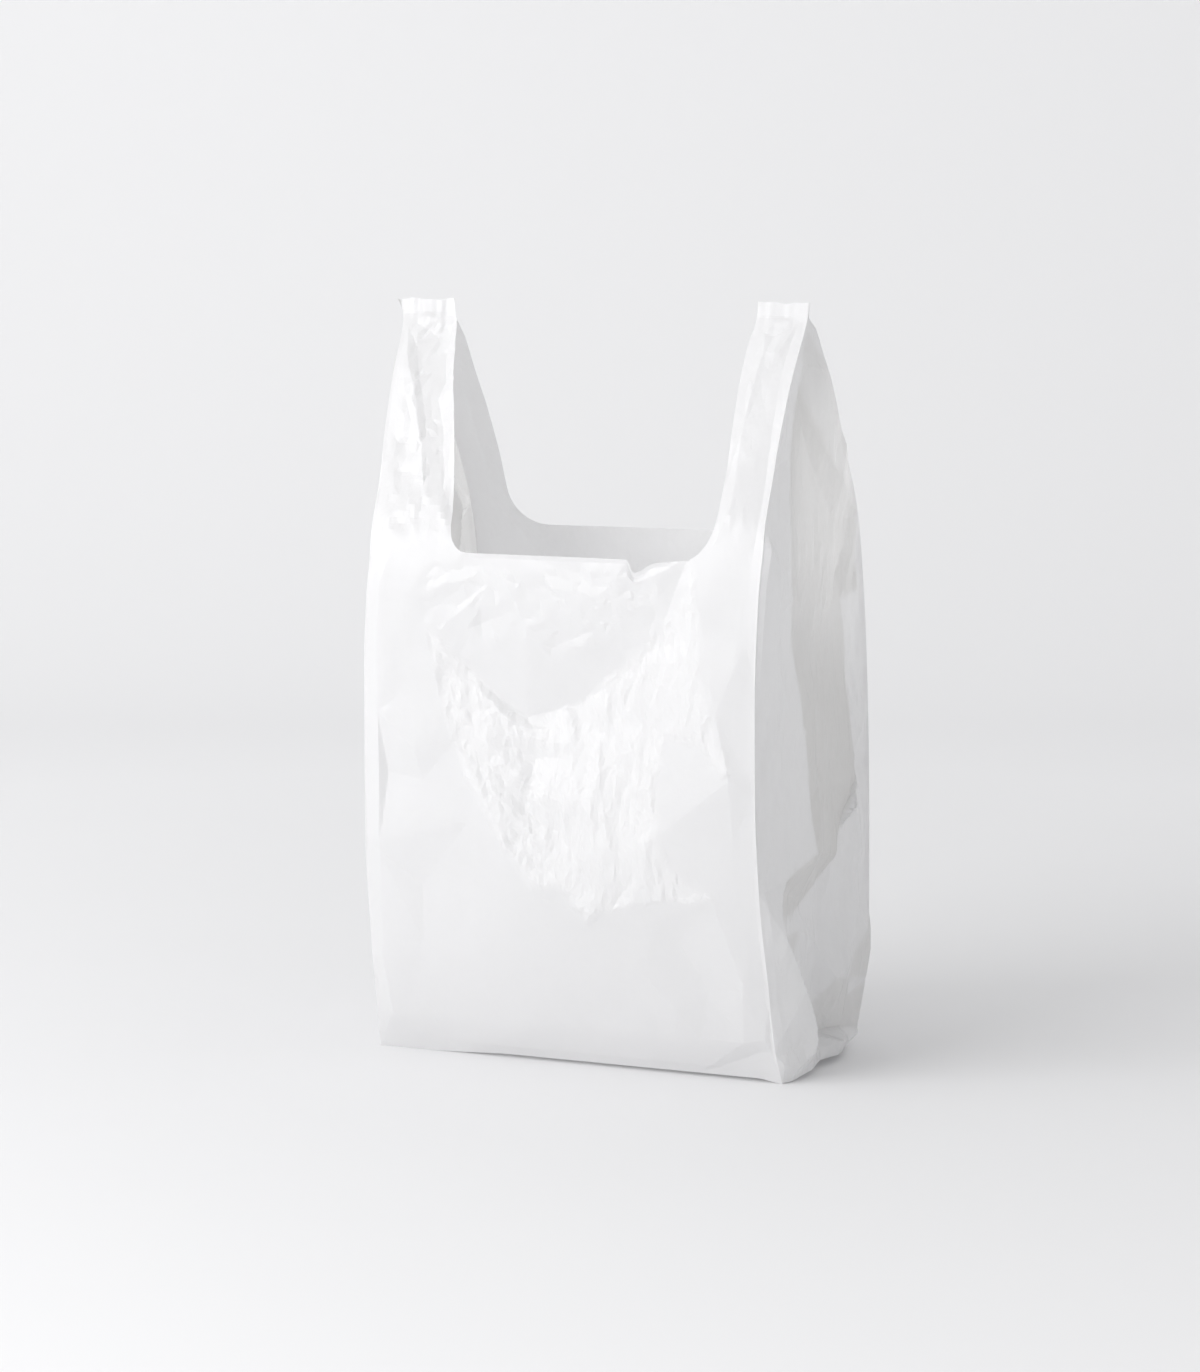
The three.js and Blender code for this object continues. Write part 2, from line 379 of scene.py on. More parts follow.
def left_folds():
    """Single points and fold lines of the left gusset."""

    def at(*points):
        made = []
        for y, z, h in points:
            front, back = FRONT_LEFT(z)[1], BACK_LEFT(z)[1]
            made.append((GUSSET_SPAN * (back - y) / (back - front), z, h))
        return made

    crease = at((-6, 478, 0), (2, 420, -7), (4, 330, -16), (0, 230, -22), (4, 120, -16))
    crease += at((-2, 60, -8), (0, 22, -2))
    fan = at((0, 22, -2), (-50, 90, 2), (-60, 170, 1))
    back_fan = at((0, 22, -2), (45, 84, 2), (62, 150, 1))
    lip = at((-60, 0, 2), (-20, 4, 4), (30, 4, 4), (60, 0, 2))
    blade = at((20, 410, -4), (34, 372, -14), (30, 330, -10), (16, 372, -2), (20, 410, -4))
    loose = at((-55, 260, 3), (55, 280, 2), (-45, 340, 3), (40, 350, 2), (0, 0, 5))
    sides = edge_points((0, 20, 60, 130, 200, 270, 330, 375, 420, 470, 521), GUSSET_SPAN)
    return loose + sides, [crease, fan, back_fan, lip, blade]


def back_folds():
    """Single points and fold lines of the back panel and its two handle strips."""

    def at(*points):
        made = []
        for x, z, h in points:
            left, right = BACK_LEFT(z)[0], BACK_RIGHT(z)[0]
            made.append((PANEL_SPAN * (1 - 2 * (x - left) / (right - left)), z, h))
        return made

    sweep = at((-140, 300, 1), (-70, 250, 5), (0, 262, -6), (80, 240, 5), (140, 290, 1))
    low = at((-150, 60, 0), (-60, 90, 5), (20, 70, -2), (100, 100, 5), (150, 70, 0))
    fall = at((0, 262, -6), (-10, 180, 4), (20, 70, -2))
    pinch = at((-95, 350, 1), (-108, 300, 4), (-70, 250, 4))
    other = at((95, 350, 1), (112, 300, 4), (80, 240, 4))
    foot = at((-110, 24, 2), (0, 30, 0), (110, 24, 2))
    strips = [at((s * 132, 500, 3), (s * 135, 440, 4), (s * 132, 390, 3)) for s in (-1, 1)]
    loose = at((0, 352, 2), (0, 320, 0), (-80, 160, 2), (90, 170, 1), (0, 0, 0))
    loose += at((-103, 521, 0), (103, 521, 0), (0, 521, 0))
    sides = edge_points((0, 130, 200, 330, 375, 420, 470, 521), PANEL_SPAN, -PANEL_SPAN)
    return loose + sides, [sweep, low, fall, pinch, other, foot, *strips]


# ---------------------------------------------------------------- the film's rows and columns

def row_heights():
    """Level rows from the floor to the handle tops, closest where the cut's corners turn."""
    body = np.linspace(0, MOUTH, BODY_ROWS + 1)
    turn = np.arange(1, CORNER_ROWS + 1) / CORNER_ROWS * math.pi / 2
    corner = MOUTH + CORNER * (1 - np.cos(turn))
    handle = np.linspace(MOUTH + CORNER, SEAL, HANDLE_ROWS + 1)[1:]
    seal = np.linspace(SEAL, HEIGHT, SEAL_ROWS + 1)[1:]
    return np.concatenate([body, corner, handle, seal])


def face_grid(z, first_edge, last_edge, first_cut, last_cut, folds, rise):
    """A front or back panel with its handle strips, as rows by columns.

    Gives each place's x and y, its height over the floor, how far it stands out and its share of
    the way across, and the first and last columns of the cut between the handles.
    """
    columns = np.arange(FACE_COLUMNS + 1)
    lifted = z + rise * smooth(0, MOUTH, z) * (1 - smooth(MOUTH, SEAL, z))
    start, end = first_edge(lifted), last_edge(lifted)
    width = end[:, :1] - start[:, :1]
    over = np.maximum(lifted - lifted[BODY_ROWS], 0)
    low = (first_cut.edge(over, lifted)[:, None] - start[:, :1]) / width
    high = (last_cut.edge(over, lifted)[:, None] - start[:, :1]) / width
    first = int(round(FACE_COLUMNS * low[BODY_ROWS, 0]))
    last = int(round(FACE_COLUMNS * high[BODY_ROWS, 0]))
    low[:BODY_ROWS], high[:BODY_ROWS] = low[BODY_ROWS], high[BODY_ROWS]
    u = np.where(
        columns <= first,
        low * columns / first,
        np.where(
            columns >= last,
            high + (1 - high) * (columns - last) / (FACE_COLUMNS - last),
            low + (high - low) * (columns - first) / (last - first),
        ),
    )
    start, end = start[:, None, :], end[:, None, :]
    xy = start + (end - start) * u[..., None]
    zz = np.broadcast_to(lifted[:, None], u.shape)
    height = Facets(*folds).at(PANEL_SPAN * (2 * u - 1), zz)
    return xy, zz, height, u, (first, last)


def gusset_grid(z, first_edge, last_edge, folds, first_rise, last_rise):
    """A gusset as rows by columns, with the same four things for each place as face_grid."""
    v = np.arange(GUSSET_COLUMNS + 1) / GUSSET_COLUMNS
    lift = smooth(0, MOUTH, z) * (1 - smooth(MOUTH, SEAL, z))
    rise = first_rise + (last_rise - first_rise) * v[None, :]
    zz = z[:, None] + rise * lift[:, None]
    start, end = first_edge(zz[:, :1]), last_edge(zz[:, -1:])
    xy = start + (end - start) * v[None, :, None]
    vv = np.broadcast_to(v, zz.shape)
    height = Facets(*folds).at(GUSSET_SPAN * vv, zz)
    return xy, zz, height, vv


# ---------------------------------------------------------------- crumpled film

# Outlines of the closely creased film on the front and the back: x and height.
CREASED_AREA = [
    (-107, 300), (-89, 284), (-60, 257), (-47, 243), (-30, 240), (0, 250), (21, 263),
    (45, 284), (64, 298), (89, 329), (95, 350), (97, 313), (101, 273), (111, 238),
    (125, 212), (117, 206), (101, 226), (88, 230), (73, 233), (66, 198), (72, 163),
    (81, 142), (112, 125), (72, 120), (36, 112), (18, 103), (-3, 124), (-23, 122),
    (-45, 147), (-70, 184), (-88, 225),
]

BACK_CREASED_AREA = [
    (-72, 296), (-30, 262), (12, 266), (52, 248), (100, 288), (84, 214), (92, 168), (40, 142),
    (14, 96), (-38, 84), (-26, 150), (-70, 204),
]

# Painted shade on the right gusset, over its valleys and the facets turned from the light: how strong, and
# its y and height.
PAINTED_SHADE_AREAS = [
    (0.6, [(-22, 505), (-27, 466), (22, 413), (68, 378), (78, 380), (45, 428), (12, 478)]),
    (1.1, [(-27, 466), (22, 413), (68, 378), (76, 322), (56, 317), (6, 318), (-46, 320), (-46, 391)]),
    (1.0, [(-46, 320), (6, 318), (56, 317), (70, 246), (80, 191), (56, 163), (23, 126), (-12, 149),
           (-26, 239)]),
    (0.9, [(-12, 149), (23, 126), (-10, 110), (-50, 104), (-51, 135)]),
    (0.6, [(-40, 94), (-12, 95), (-30, 72)]),
    (0.6, [(94, 92), (60, 66), (54, 52), (84, 48)]),
    (0.6, [(33, 55), (54, 52), (62, 38), (84, 46), (80, 12), (18, 17), (-14, 22), (12, 36)]),
]


def inside_depth(outline, x, z):
    """How far a place is inside an outline; less than zero outside it."""
    away = np.full(x.shape, np.inf)
    crossings = np.zeros(x.shape, int)
    for (ax, az), (bx, bz) in zip(outline, outline[1:] + outline[:1]):
        dx, dz = bx - ax, bz - az
        t = np.clip(((x - ax) * dx + (z - az) * dz) / (dx * dx + dz * dz), 0, 1)
        away = np.minimum(away, np.hypot(x - ax - t * dx, z - az - t * dz))
        if az != bz:
            beside = (z < max(az, bz)) & (z >= min(az, bz))
            crossings += beside & (x < ax + dx * (z - az) / dz)
    return np.where(crossings % 2 == 1, away, -away)


def creasing_in(outline, x, z):
    """0 on smooth film to 1 where it is crumpled, with a ragged edge between them."""
    ragged = 3 * (dents(x, z, 9, 5) - 0.5)
    return smooth(-2, 4, inside_depth(outline, x, z) + ragged)


def gusset_painted_shade(y, z):
    """0 where the right gusset has no painted shade to 1 where it has the most."""
    made = np.zeros(y.shape)
    for painted_shade_amount, outline in PAINTED_SHADE_AREAS:
        made += painted_shade_amount * smooth(-1.5, 1.5, inside_depth(outline, y, z))  # soft over 3 mm
    return made * (0.7 + 0.3 * smooth(325, 250, z) + 0.15 * smooth(390, 440, z))


def front_crumple(x, z, creased):
    """Fine folds of the front: faint where it is smooth, drawn out up the handles, close where creased."""
    bent_x = x + 5 * np.sin(z / 31) + 3 * np.sin(z / 13 + x / 40)
    bent_z = z + 5 * np.sin(x / 27 + 1)
    # The film is slack under the mouth edge, and a little so at the lower right.
    slack = smooth(268, 300, z) * smooth(120, 80, np.abs(x + 10)) * smooth(356, 340, z)
    slack = np.maximum(slack, 0.4 * smooth(40, 75, x) * smooth(115, 95, z) * smooth(15, 35, z))
    calm = facets(x, z, 55, 0.014, 31, 1.3, 0.3)
    restless = facets(bent_x, bent_z, 15, 0.038, 33, 0.8, 0.4) + facets(bent_x, bent_z, 5, 0.04, 34)
    strip = smooth(MOUTH - 5, MOUTH + 30, z) * (0.5 + 0.5 * smooth(20, -20, x))
    drawn = facets(bent_x, z, 10, 0.06, 35, 3.0, 0.06) + facets(bent_x, z, 4, 0.09, 36, 1.6)
    upright = facets(bent_x, bent_z, 14, 0.05, 11, 2.4, 0.1)
    upright += facets(bent_x, bent_z, 4.2, 0.08, 12, 3.0, -0.05)
    slanted = facets(bent_x, bent_z, 14, 0.06, 21, 1.6, 0.75)
    slanted += facets(bent_x, bent_z, 4.2, 0.08, 22, 1.5, 0.6)
    # The close creases slant at the left and stand upright at the right.
    close = slanted + (upright - slanted) * smooth(-35, 5, x)
    return calm + slack * restless + strip * drawn + creased * close


def general_crumple(x, z, seed, slack=1.0):
    """Wide shallow facets with smaller ones on them, as on film that isn't closely creased."""
    bent_x = x + 6 * np.sin(z / 37 + seed) + 3 * np.sin(z / 15)
    made = facets(bent_x, z, 48, 0.03, seed, 1.8, 0.2)
    made += facets(bent_x, z, 19, 0.02, seed + 1, 2.2, -0.15)
    made += facets(bent_x, z, 7, 0.02, seed + 2, 2.4, 0.1)
    return slack * made


def back_crumple(x, z, creased):
    """Fine folds of the back: the general ones, and close ones where it is creased."""
    close = facets(x, z, 14, 0.06, 81, 1.8, 0.4) + facets(x, z, 4.5, 0.08, 82, 1.6, -0.2)
    return general_crumple(x, z, 40, 1.5) + creased * close


def edge_fade(share, width=0.06):
    """0 on both folds of a panel to 1 a little way in."""
    return smooth(0, width, share) * smooth(0, width, 1 - share)


def slack_rim(x, z):
    """Where the front rim has dropped and folded in, 0 to 1."""
    share = 0.75 * smooth(66, 50, x) + 0.25 * smooth(86, 60, x)
    return smooth(45, 49.5, x) * share * smooth(MOUTH - 22, MOUTH, z)


def ruffle_seals(wall):
    """Wrinkles both layers of each handle's seal alike, and lowers its cut edge unevenly."""
    x, z = wall[..., 0].copy(), wall[..., 2].copy()
    wave = 0.4 * np.sin(x / 4.1 + 0.5) + 0.3 * np.sin(x / 1.9 + 2) + 0.2 * np.sin(x / 1.1)
    wave *= np.where(x > 0, 0.5, 1)
    nibbled = 0.5 * (1 + np.sin(x / 5.3 + 1.2)) + 0.3 * (1 + np.sin(x / 2.3))
    wall[..., 1] += wave * smooth(SEAL - 16, SEAL - 2, z)
    wall[..., 2] -= nibbled * smooth(SEAL - 4, HEIGHT, z)


# ---------------------------------------------------------------- the film as a mesh

def outward(xy, height):
    """Moves a panel's places out by their heights, square to the panel's own chord."""
    chord = xy[:, -1] - xy[:, 0]
    chord /= np.linalg.norm(chord, axis=1, keepdims=True)
    normal = np.stack([chord[:, 1], -chord[:, 0]], -1)
    return xy + normal[:, None, :] * height[..., None]


def flat_under_seal(z, start, end=0):
    """1 below to 0 in the handles' seals, where film lies flat. Both are distances under SEAL."""
    return 1 - smooth(SEAL - start, SEAL - end, z)[:, None]


def crumple_room(z):
    """How far film can crumple in each row: not at all on the floor or in the seals."""
    return flat_under_seal(z, 12) * smooth(0, 14, z)[:, None]


def panel(xy, z, height, mark, painted_shade):
    """A panel's places with their creasing, which also sets painted sheen, and their painted shade. Its
    last column is the next one's first.
    """
    marks = np.stack(np.broadcast_arrays(z, mark, painted_shade), -1)
    return np.concatenate([outward(xy, height), marks], -1)[:, :-1]


def front_panel(z):
    """The front with its handle strips, and the first and last columns of its cut."""
    xy, zz, height, share, cut = face_grid(
        z, FRONT_LEFT, FRONT_RIGHT, FRONT_LEFT_CUT, FRONT_RIGHT_CUT, front_folds(), 0)
    x = xy[..., 0]
    creased = creasing_in(CREASED_AREA, x, zz)
    height = height + crumple_room(z) * edge_fade(share) * front_crumple(x, zz, creased)
    dropped = slack_rim(x, zz)
    curled = smooth(MOUTH - 3, MOUTH, zz) * smooth(-76, -70, x) * smooth(80, 74, x) * (zz <= MOUTH)
    height = height - RIM_FOLD_IN * dropped + RIM_CURL * curled
    height = flat_under_seal(z, 5) * (height - FOLD_BEAD * edge_fade(share, FACE_BEAD_SHARE))
    return panel(xy, zz - RIM_DROP * dropped, height, creased, 0), cut


def back_panel(z):
    """The back with its handle strips, and the first and last columns of its cut."""
    xy, zz, height, share, cut = face_grid(
        z, BACK_RIGHT, BACK_LEFT, BACK_RIGHT_CUT, BACK_LEFT_CUT, back_folds(), BACK_RISE)
    x = xy[..., 0]
    creased = creasing_in(BACK_CREASED_AREA, x, zz)
    height = height + crumple_room(z) * edge_fade(share) * back_crumple(x, zz, creased)
    height = flat_under_seal(z, 12) * (height - FOLD_BEAD * edge_fade(share, FACE_BEAD_SHARE))
    return panel(xy, zz, height, (0.5 + 0.5 * creased) * edge_fade(share), 0), cut


def right_gusset(z):
    """The gusset seen beside the front, with its patches of painted shade, painted sheen on its pillow and
    the long wrinkles by its back fold.
    """
    xy, zz, height, share = gusset_grid(z, FRONT_RIGHT, BACK_RIGHT, right_folds(), 0, BACK_RISE)
    y = xy[..., 1]
    pulled = smooth(0.78, 0.86, share) * smooth(110, 170, zz) * smooth(330, 260, zz)
    crumple = general_crumple(y, zz, 50, 2.6) + pulled * facets(y, zz, 4, 0.07, 55, 8.0)
    height = height + crumple_room(z) * edge_fade(share, 0.03) * crumple
    height = flat_under_seal(z, 44, 8) * (height - FOLD_BEAD * edge_fade(share, GUSSET_BEAD_SHARE))
    # Lighter colour on the pillow at the gusset's front foot: painted sheen, as well as closer crinkles.
    creased = 0.35 + 0.5 * smooth(-42, -54, y) * smooth(125, 95, zz)
    lifted = zz + RIGHT_FOOT_LIFT * np.sin(math.pi * share) * smooth(40, 0, zz)
    return panel(xy, lifted, height, creased * edge_fade(share), gusset_painted_shade(y, zz))


def left_gusset(z):
    """The gusset of the far side, with painted shade high up, where its inside is seen through the mouth.
    """
    xy, zz, height, share = gusset_grid(z, BACK_LEFT, FRONT_LEFT, left_folds(), BACK_RISE, 0)
    height = height + crumple_room(z) * edge_fade(share) * general_crumple(xy[..., 1], zz, 60)
    height = flat_under_seal(z, 44, 8) * (height - FOLD_BEAD * edge_fade(share, GUSSET_BEAD_SHARE))
    lifted = zz + LEFT_FOOT_LIFT * np.sin(math.pi * share) * smooth(40, 0, zz)
    # Painted shade on the upper gusset, which the mouth shows from inside.
    return panel(xy, lifted, height, 0.3 * edge_fade(share), 0.75 * smooth(250, 330, zz))


def wall_places():
    """The four panels as one ring of columns, and the columns of both cuts."""
    z = row_heights()
    front, front_cut = front_panel(z)
    back, back_cut = back_panel(z)
    wall = np.concatenate([front, right_gusset(z), back, left_gusset(z)], 1)
    ruffle_seals(wall)
    lift_front_foot(wall)
    return wall, front_cut, back_cut


def lift_front_foot(wall):
    """Raises the front's lower edge off the floor from near its left end almost to its right."""
    share = np.arange(FACE_COLUMNS + 1) / FACE_COLUMNS
    lift = FRONT_FOOT_LIFT * smooth(0.12, 0.35, share) * smooth(0, 0.06, 1 - share)
    fade = 1 - np.arange(LIFTED_ROWS)[:, None] / LIFTED_ROWS
    wall[:LIFTED_ROWS, : FACE_COLUMNS + 1, 2] += lift * fade


def base_places(wall):
    """The base: a patch between the bottom rows of the four panels, folded to its seal."""
    n, g = FACE_COLUMNS, GUSSET_COLUMNS
    row = wall[0]
    front, right = row[: n + 1], row[n : n + g + 1]
    back = row[n + g : 2 * n + g + 1][::-1]
    left = np.concatenate([row[2 * n + g :], row[:1]])[::-1]
    u = np.linspace(0, 1, n + 1)[:, None, None]
    v = np.linspace(0, 1, g + 1)[None, :, None]
    patch = (1 - v) * front[:, None] + v * back[:, None] + (1 - u) * left[None] + u * right[None]
    patch -= (1 - u) * (1 - v) * front[0] + u * (1 - v) * front[-1]
    patch -= (1 - u) * v * back[0] + u * v * back[-1]
    u, v = u[..., 0], v[..., 0]
    inside = edge_fade(u) * edge_fade(v)
    patch[..., 2] *= 1 - 0.9 * edge_fade(u, 0.12) * edge_fade(v, 0.2)
    slack = 1.4 * dents(patch[..., 0], patch[..., 1], 45, 71) * inside
    seal = 1.2 * smooth(5, 3, np.abs(patch[..., 1]))
    patch[..., 2] += slack + seal
    patch[..., 3] = 0.2 * inside
    return patch


def wall_faces(rows, ring, front_cut, back_cut):
    """Four-cornered faces of the walls, with the two cuts left open above the mouth's row."""

    def at(row, column):
        return row * ring + column % ring

    back_start = FACE_COLUMNS + GUSSET_COLUMNS
    faces = []
    for row in range(rows - 1):
        for column in range(ring):
            in_front = front_cut[0] <= column < front_cut[1]
            in_back = back_cut[0] <= column - back_start < back_cut[1]
            if row < BODY_ROWS or not (in_front or in_back):
                faces.append((
                    at(row, column), at(row, column + 1),
                    at(row + 1, column + 1), at(row + 1, column)))
    return faces


def base_faces(wall_count):
    """Four-cornered faces of the base, whose rim is the walls' bottom row."""
    n, g = FACE_COLUMNS, GUSSET_COLUMNS

    def under(i, j):
        if j == 0:
            return i
        if i == n:
            return n + j
        if j == g:
            return n + g + n - i
        if i == 0:
            return 2 * n + g + g - j
        return wall_count + (i - 1) * (g - 1) + j - 1

    return [
        (under(i, j), under(i, j + 1), under(i + 1, j + 1), under(i + 1, j))
        for i in range(n)
        for j in range(g)
    ]


def film_mesh():
    """The whole film as one sheet, with its creasing, which also sets painted sheen, and its painted shade
    as attributes.
    """
    wall, front_cut, back_cut = wall_places()
    rows, ring, parts = wall.shape
    base = base_places(wall)[1:-1, 1:-1]
    places = np.concatenate([wall.reshape(-1, parts), base.reshape(-1, parts)])
    faces = wall_faces(rows, ring, front_cut, back_cut) + base_faces(rows * ring)
    used, faces = np.unique(np.array(faces), return_inverse=True)
    places = places[used]
    mesh = bpy.data.meshes.new("carrier_bag")
    mesh.from_pydata(places[:, :3] * MM, [], faces.reshape(-1, 4))
    for name, values in (("creasing_and_sheen", places[:, 3]), ("painted_shade_amount", places[:, 4])):
        mark = mesh.attributes.new(name, "FLOAT", "POINT")
        mark.data.foreach_set("value", values.astype(np.float32))
    mesh.polygons.foreach_set("use_smooth", np.ones(len(mesh.polygons), bool))
    mesh.update()
    return mesh


def weld(mesh, distance):
    """Joins the places that are nearer to each other than a distance in metres."""
    work = bmesh.new()
    work.from_mesh(mesh)
    bmesh.ops.remove_doubles(work, verts=work.verts, dist=distance)
    work.to_mesh(mesh)
    work.free()


def apply_modifiers(piece):
    """Gives a piece the plain mesh that its modifiers make."""
    made = bpy.data.meshes.new_from_object(
        piece.evaluated_get(bpy.context.evaluated_depsgraph_get())
    )
    piece.modifiers.clear()
    old = piece.data
    piece.data = made
    bpy.data.meshes.remove(old)


def make_bag(material):
    """The bag: the sheet of film, thinned to an even detail and given its thickness."""
    mesh = film_mesh()
    weld(mesh, WELD * MM)
    piece = bpy.data.objects.new("carrier_bag", mesh)
    bpy.context.scene.collection.objects.link(piece)
    thin = piece.modifiers.new("even_detail", "DECIMATE")
    triangles = sum(len(p.vertices) - 2 for p in mesh.polygons)
    thin.ratio = min(1, SIDE_TRIANGLES / triangles)
    wall = piece.modifiers.new("film", "SOLIDIFY")
    wall.thickness = FILM * MM
    wall.offset = -1
    wall.use_rim = True
    apply_modifiers(piece)
    piece.data.materials.clear()
    piece.data.materials.append(material)
    piece.data.set_sharp_from_angle(angle=math.radians(CREASE_ANGLE))
    return piece


# ---------------------------------------------------------------- materials

PLAIN_WHITE = (0.885, 0.883, 0.892, 1)  # smooth film
PAINTED_SHEEN_WHITE = (0.95, 0.948, 0.955, 1)  # painted sheen: film lighter where it is closely creased and on the gusset's pillow
PAINTED_SHADE_WHITE = (0.70, 0.69, 0.675, 1)  # painted shade: the gussets' darker patches
THROUGH_WHITE = (0.95, 0.95, 0.95, 1)  # light that has passed through the film
PAINTED_SHADOW_PAPER = (0.80, 0.80, 0.81, 1)  # the backdrop darkened round the bag as painted shadow, and far from it
FAR_PAPER = (0.895, 0.895, 0.905, 1)


class Number:
    """A socket that can be written in sums, differences and products."""

    def __init__(self, nodes, socket):
        self.nodes = nodes
        self.socket = socket

    def _math(self, operation, *values):
        return self.nodes.add("ShaderNodeMath", {"operation": operation}, dict(enumerate(values)))

    def __add__(self, other):
        return self._math("ADD", self, other)

    def __sub__(self, other):
        return self._math("SUBTRACT", self, other)

    def __mul__(self, other):
        return self._math("MULTIPLY", self, other)

    def __rsub__(self, other):
        return self._math("SUBTRACT", other, self)

    __radd__ = __add__
    __rmul__ = __mul__


class Nodes:
    """A new material, and the one way in which its nodes are added."""

    def __init__(self, name):
        self.material = bpy.data.materials.new(name)
        self.material.use_nodes = True
        self.tree = self.material.node_tree
        self.tree.nodes.clear()

    def add(self, kind, settings=None, inputs=None, output=0):
        """Adds a node with its settings and the values or links of its sockets, and gives one output."""
        node = self.tree.nodes.new(kind)
        for name, value in (settings or {}).items():
            setattr(node, name, value)
        for name, value in (inputs or {}).items():
            socket = node.inputs[name]
            if isinstance(value, Number):
                self.tree.links.new(value.socket, socket)
            else:
                socket.default_value = value
        return None if output is None else Number(self, node.outputs[output])

    def finish(self, surface):
        self.add("ShaderNodeOutputMaterial", {}, {"Surface": surface}, output=None)

    def place(self):
        return self.add("ShaderNodeTexCoord", output="Object")

    def attribute(self, name):
        return self.add("ShaderNodeAttribute", {"attribute_name": name}, output="Fac")

    def noise(self, place, scale, detail, stretch=(1, 1, 1)):
        mapped = self.add("ShaderNodeMapping", {}, {"Vector": place, "Scale": stretch})
        return self.add("ShaderNodeTexNoise", {}, {"Vector": mapped, "Scale": scale, "Detail": detail})

    def cells(self, place, scale, stretch):
        mapped = self.add("ShaderNodeMapping", {}, {"Vector": place, "Scale": stretch})
        return self.add("ShaderNodeTexVoronoi", {}, {"Vector": mapped, "Scale": scale})

    def between(self, share, first, second):
        """The first colour where share is 0 to the second where it is 1."""
        return self.add("ShaderNodeMix", {"data_type": "RGBA"}, {0: share, 6: first, 7: second}, 2)


def film_bump(nodes, place, creasing_and_sheen, painted_shade_amount):
    """Crinkles in closely creased film, long wrinkles where shade is painted, and soft unevenness all
    over.
    """
    drift = nodes.add("ShaderNodeTexNoise", {}, {"Vector": place, "Scale": 45.0}, "Color")
    shifted = nodes.add(
        "ShaderNodeVectorMath", {"operation": "MULTIPLY_ADD"},
        {0: drift, 1: (0.012, 0.012, 0.012), 2: place})
    crinkle = nodes.cells(shifted, 150, (1, 1, 0.4))
    small_crinkle = nodes.cells(shifted, 380, (1, 1, 0.5))
    fine = nodes.noise(place, 1500, 2)
    drawn = nodes.noise(place, 90, 2, (1, 1, 0.1))
    soft = nodes.noise(place, 55, 3)
    smoothness = 1 - creasing_and_sheen
    height = (crinkle * 0.7 + small_crinkle * 0.25) * (1 - smoothness * 0.88)
    height += fine * 0.02 + drawn * (0.15 + painted_shade_amount * 0.4) + soft * 0.5
    return nodes.add("ShaderNodeBump", {}, {"Strength": 1.0, "Distance": 0.001, "Height": height})


def film_material():
    """White film: a glossy skin over a body that passes part of the light that falls on it."""
    nodes = Nodes("film")
    place = nodes.place()
    creasing_and_sheen = nodes.attribute("creasing_and_sheen")
    painted_shade_amount = nodes.attribute("painted_shade_amount")
    cloudy = nodes.noise(place, 14, 3)
    bump = film_bump(nodes, place, creasing_and_sheen, painted_shade_amount)
    # Base colour lighter where the film is creased: painted sheen.
    clear = nodes.between(creasing_and_sheen * 0.85 + cloudy * 0.15, PLAIN_WHITE, PAINTED_SHEEN_WHITE)
    surface = nodes.add("ShaderNodeBsdfPrincipled", {}, {
        # Base colour darker in the gussets' patches: painted shade.
        "Base Color": nodes.between(painted_shade_amount, clear, PAINTED_SHADE_WHITE),
        "Roughness": 0.20 + cloudy * 0.06,
        "IOR": 1.5,
        "Normal": bump,
    })
    through = nodes.add("ShaderNodeBsdfTranslucent", {}, {"Color": THROUGH_WHITE, "Normal": bump})
    nodes.finish(nodes.add("ShaderNodeMixShader", {}, {0: THROUGH, 1: surface, 2: through}))
    return nodes.material


def stage_material():
    """Matt paper with painted shadow: a little darker round the bag than far from it."""
    nodes = Nodes("paper_backdrop")
    place = nodes.place()
    away = nodes.add("ShaderNodeVectorMath", {"operation": "LENGTH"}, {0: place}, "Value")
    # Darker near the bag: painted shadow.
    rise = nodes.add("ShaderNodeMapRange", {}, {"Value": away, "From Min": 0.3, "From Max": 1.5})
    mottle = nodes.noise(place, 5, 2)
    tint = nodes.between(rise + mottle * 0.1, PAINTED_SHADOW_PAPER, FAR_PAPER)
    nodes.finish(nodes.add("ShaderNodeBsdfPrincipled", {}, {"Base Color": tint, "Roughness": 0.75}))
    return nodes.material


# ---------------------------------------------------------------- floor, light and camera

# Angles in degrees: azimuth round from the front towards the bag's right, elevation up.
CAMERA_AZIMUTH = 25.0
CAMERA_ELEVATION = 6.5
LOOK_AZIMUTH = 25.26  # the camera is turned a little off the bag's middle, to frame it
LOOK_ELEVATION = 6.6
CAMERA_DISTANCE = 2.92
CAMERA_CENTRE = (0, 0, 0.26)
LENS = 110  # millimetres, on a sensor 36 wide
SENSOR = 36

# The backdrop's profile, in metres.
STAGE_HALF_WIDTH = 4.0
STAGE_FRONT = -4.0
STAGE_BEND = 1.8  # how far behind the bag the floor begins to curve up
STAGE_RADIUS = 1.2
STAGE_TOP = 4.5
STAGE_STEPS = 16

WORLD_STRENGTH = 0.70
LIGHTS_AIM = (0, 0, 0.25)


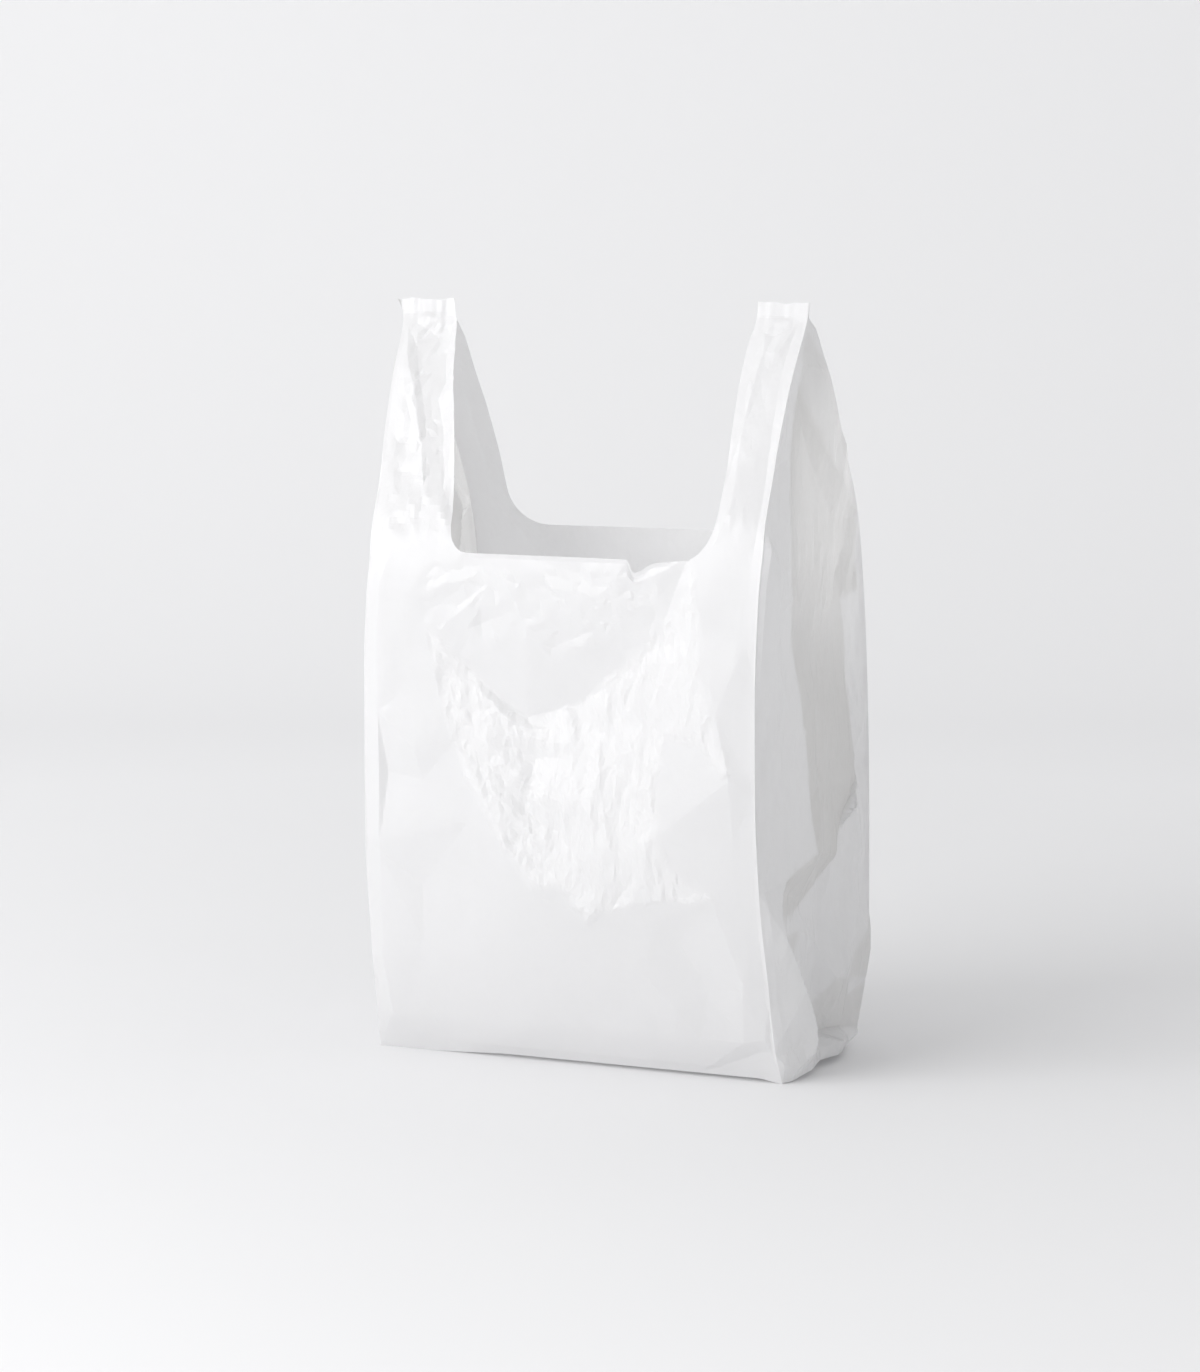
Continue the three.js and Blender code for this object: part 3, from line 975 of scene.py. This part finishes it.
def make_stage():
    """A floor that curves up into a backdrop, all one sheet."""
    turn = [i / STAGE_STEPS * math.pi / 2 for i in range(STAGE_STEPS + 1)]
    profile = [(STAGE_FRONT, 0.0)]
    profile += [
        (STAGE_BEND + STAGE_RADIUS * math.sin(a), STAGE_RADIUS * (1 - math.cos(a))) for a in turn
    ]
    profile.append((STAGE_BEND + STAGE_RADIUS, STAGE_TOP))
    corners = [(x, y, z) for y, z in profile for x in (-STAGE_HALF_WIDTH, STAGE_HALF_WIDTH)]
    faces = [(2 * i, 2 * i + 1, 2 * i + 3, 2 * i + 2) for i in range(len(profile) - 1)]
    turn_to_view = math.radians(CAMERA_AZIMUTH)
    c, s = math.cos(turn_to_view), math.sin(turn_to_view)
    mesh = bpy.data.meshes.new("backdrop")
    mesh.from_pydata([(c * x - s * y, s * x + c * y, z) for x, y, z in corners], [], faces)
    for polygon in mesh.polygons:
        polygon.use_smooth = True
    mesh.materials.append(stage_material())
    backdrop = bpy.data.objects.new("backdrop", mesh)
    bpy.context.scene.collection.objects.link(backdrop)
    return backdrop


def direction(azimuth, elevation):
    """A unit vector from the bag towards an azimuth and elevation."""
    a, e = math.radians(azimuth), math.radians(elevation)
    return Vector((math.sin(a) * math.cos(e), -math.cos(a) * math.cos(e), math.sin(e)))


def soft_light(name, azimuth, elevation, distance, size, power):
    """A softbox that faces the bag: size in metres, power in watts."""
    data = bpy.data.lights.new(name, "AREA")
    data.shape = "RECTANGLE"
    data.size, data.size_y = size
    data.energy = power
    lamp = bpy.data.objects.new(name, data)
    away = direction(azimuth, elevation)
    lamp.location = Vector(LIGHTS_AIM) + away * distance
    lamp.rotation_mode = "QUATERNION"
    lamp.rotation_quaternion = away.to_track_quat("Z", "Y")
    bpy.context.scene.collection.objects.link(lamp)


def light_scene():
    """An even white room, a broad key light low at the left and a weak one high beside it."""
    world = bpy.data.worlds.new("studio")
    world.use_nodes = True
    room = world.node_tree.nodes["Background"].inputs
    room["Color"].default_value = (1.0, 1.0, 1.0, 1)
    room["Strength"].default_value = WORLD_STRENGTH
    bpy.context.scene.world = world
    soft_light("key", azimuth=-32, elevation=17, distance=3.0, size=(2.6, 1.6), power=66)
    soft_light("side", azimuth=-65, elevation=50, distance=3.0, size=(1.6, 1.6), power=8)
    bpy.context.scene.view_settings.view_transform = "Standard"


def make_camera():
    """A long lens a little over the bag's middle, from its right."""
    data = bpy.data.cameras.new("camera")
    data.lens = LENS
    data.sensor_width = SENSOR
    camera = bpy.data.objects.new("camera", data)
    away = direction(CAMERA_AZIMUTH, CAMERA_ELEVATION)
    camera.location = Vector(CAMERA_CENTRE) + away * CAMERA_DISTANCE
    camera.rotation_mode = "QUATERNION"
    camera.rotation_quaternion = direction(LOOK_AZIMUTH, LOOK_ELEVATION).to_track_quat("Z", "Y")
    bpy.context.scene.collection.objects.link(camera)
    bpy.context.scene.camera = camera


# ---------------------------------------------------------------- the scene

make_camera()
light_scene()
floor = make_stage()

bag = make_bag(film_material())
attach(bag, "root")
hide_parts(NODE)
